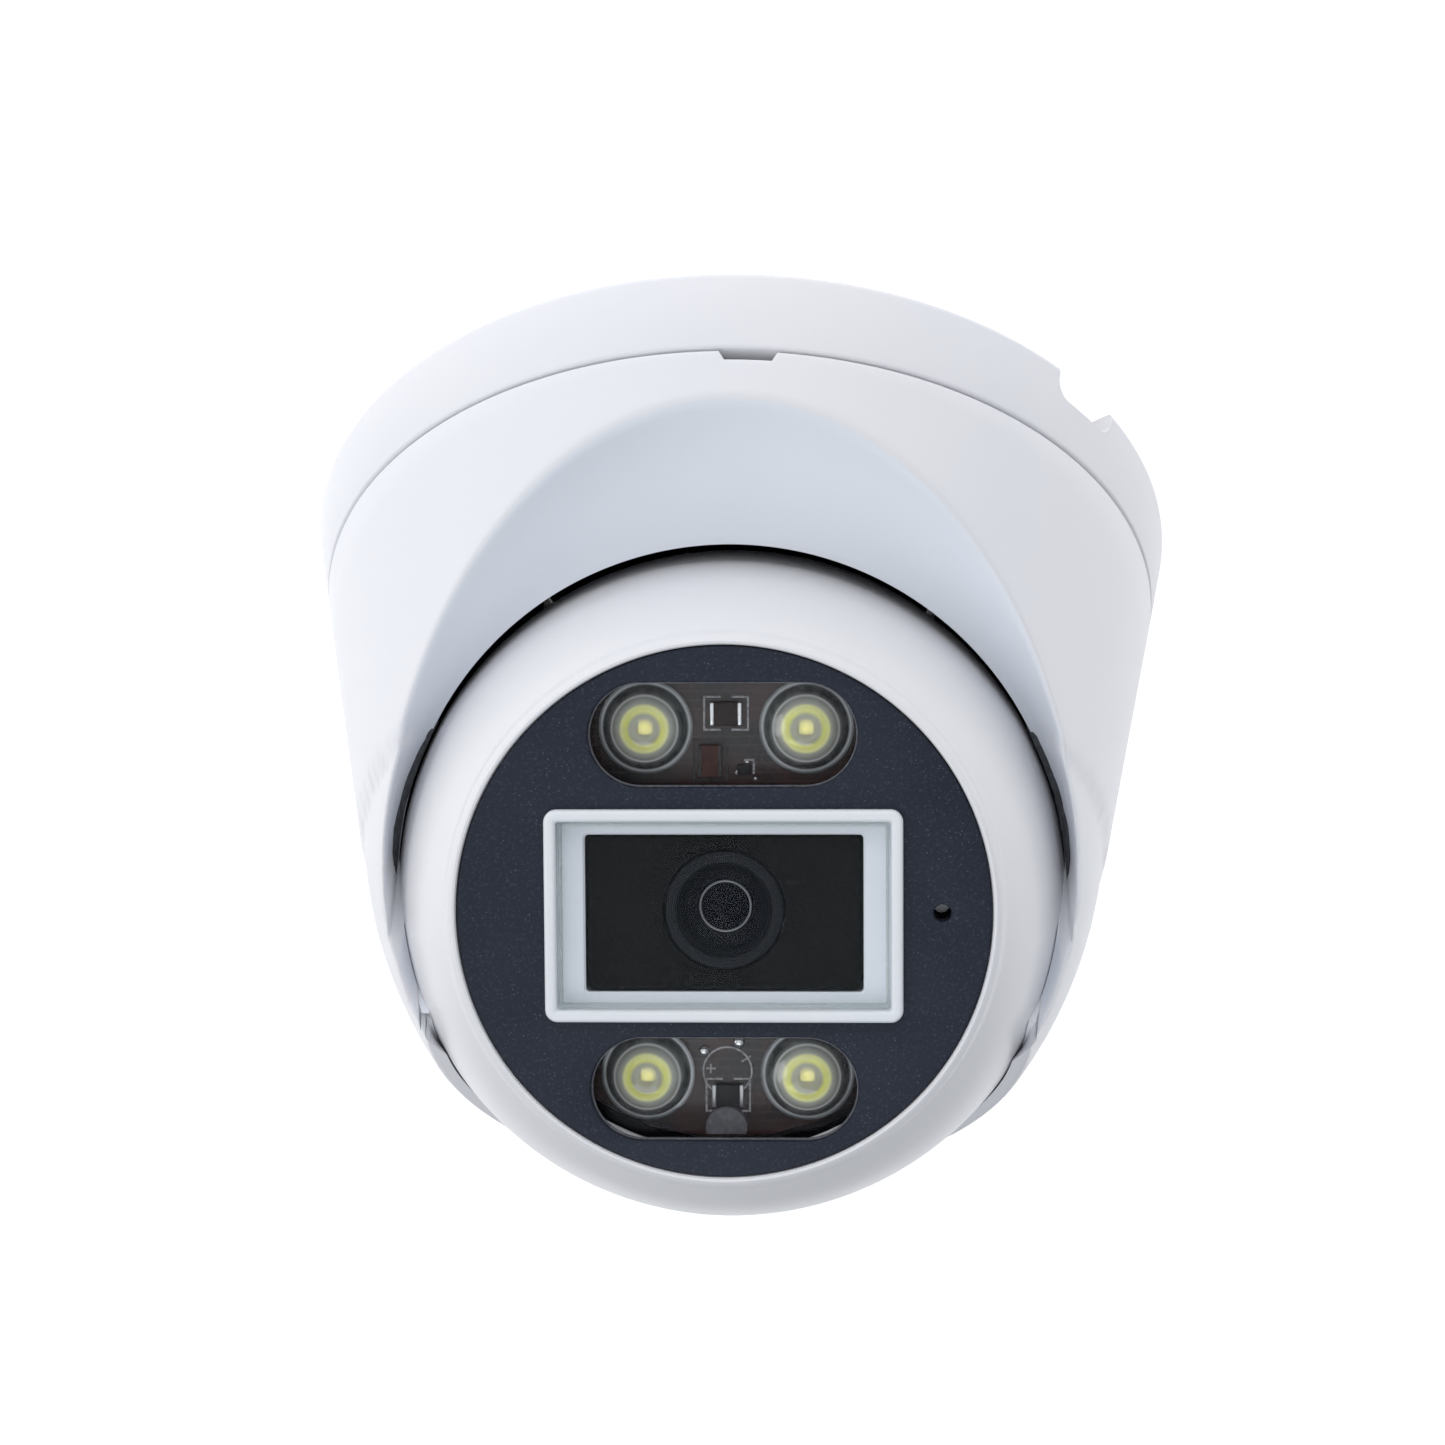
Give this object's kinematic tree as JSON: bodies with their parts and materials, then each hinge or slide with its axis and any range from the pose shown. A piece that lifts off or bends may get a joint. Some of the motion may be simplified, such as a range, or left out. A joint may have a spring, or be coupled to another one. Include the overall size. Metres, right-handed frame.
{
  "type": "dome security camera",
  "caption": "Turret-style dome security camera: conical scooped cover on a round base, ball head with lamp windows and a framed lens window.",
  "frame": {"origin": "centre of the flat mounting face of the base", "axes": "+Z out of the mounting surface, towards the ball; the scooped side and the lens face -Y at rest"},
  "size_m": [0.0934, 0.0934, 0.0779],
  "materials": {
    "white_shell": "satin injection-moulded white plastic with a faint texture",
    "fascia": "dark blue-black semi-gloss plate with fine sparkle",
    "bezel": "smooth white window frame",
    "window_glass": "clear glass with a faint green edge",
    "ir_window": "clear plastic pane over the lamps",
    "foam": "black open-cell foam",
    "board": "black solder-masked circuit board",
    "green_board": "green solder-masked circuit board",
    "led_lens": "clear moulded lamp lens",
    "led_phosphor": "yellow phosphor chip",
    "chip": "black moulded component",
    "rubber": "black rubber",
    "steel": "zinc-plated steel",
    "aluminium": "bare aluminium",
    "lens_black": "black anodised lens barrel",
    "lens_glass": "coated lens glass",
    "filter_glass": "infrared-cut filter glass",
    "grey_plastic": "dark grey glass-filled plastic",
    "washer": "low-friction plastic",
    "copper": "enamelled copper winding",
    "connector": "ivory connector housing"
  },
  "bodies": {
    "base": {"mounting_base": "white_shell", "wall_gasket": "rubber", "pan_washer": "washer", "pan_retainer": "aluminium", "retainer_screw_1": "steel", "retainer_screw_2": "steel"},
    "housing": {"turntable": "grey_plastic", "ball_bracket": "grey_plastic", "bracket_screw_1": "steel", "bracket_screw_2": "steel", "bracket_screw_3": "steel", "cover": "white_shell"},
    "gimbal": {"tilt_ring": "white_shell", "trunnion_pin_1": "steel", "trunnion_pin_2": "steel"},
    "ball": {"ball_front_shell": "white_shell", "ball_rear_shell": "white_shell", "shell_gasket": "rubber", "cable_bush": "rubber", "fascia": "fascia", "bezel_frame": "bezel", "window_glass": "window_glass", "foam_baffle": "foam", "ir_window_1": "ir_window", "ir_window_2": "ir_window", "led_board": "board", "resistor_1": "chip", "resistor_2": "chip", "led_driver": "chip", "microphone": "steel", "microphone_boot": "rubber", "lens_holder": "chip", "filter_coil": "copper", "image_sensor": "chip", "sensor_board": "green_board", "board_connector": "chip", "main_board": "green_board", "video_processor": "chip", "heat_sink": "aluminium", "cable_header": "connector", "led_board_screw_1": "steel", "board_screw_1": "steel", "led_board_screw_2": "steel", "board_screw_2": "steel", "shell_screw_1": "steel", "shell_screw_2": "steel", "shell_screw_3": "steel", "led_lens_1": "led_lens", "led_emitter_1": "led_phosphor", "led_lens_2": "led_lens", "led_emitter_2": "led_phosphor", "led_lens_3": "led_lens", "led_emitter_3": "led_phosphor", "led_lens_4": "led_lens", "led_emitter_4": "led_phosphor"},
    "lens": {"lens_barrel": "lens_black", "lens_front_element": "lens_glass", "lens_lock_ring": "steel"},
    "filter": {"filter_carriage": "chip", "infrared_filter": "filter_glass"}
  },
  "joints": [
    {"name": "pan", "type": "hinge", "parent": "base", "child": "housing", "pos_m": [0, 0, 0.0056], "axis": [0, 0, 1], "range_deg": [-180, 180]},
    {"name": "tilt", "type": "hinge", "parent": "housing", "child": "gimbal", "pos_m": [0, 0, 0.04303], "axis": [1, 0, 0], "range_deg": [-49.2, 20.8]},
    {"name": "roll", "type": "hinge", "parent": "gimbal", "child": "ball", "pos_m": [0, 0, 0.04303], "axis": [0, -0.757, 0.6534], "range_deg": [-180, 180]},
    {"name": "focus", "type": "hinge", "parent": "ball", "child": "lens", "pos_m": [0, 0, 0.04303], "axis": [0, -0.757, 0.6534], "range_deg": [-90, 90]},
    {"name": "filter_shift", "type": "slide", "parent": "ball", "child": "filter", "axis": [1, 0, 0], "range_m": [0, 0.006]}
  ]
}
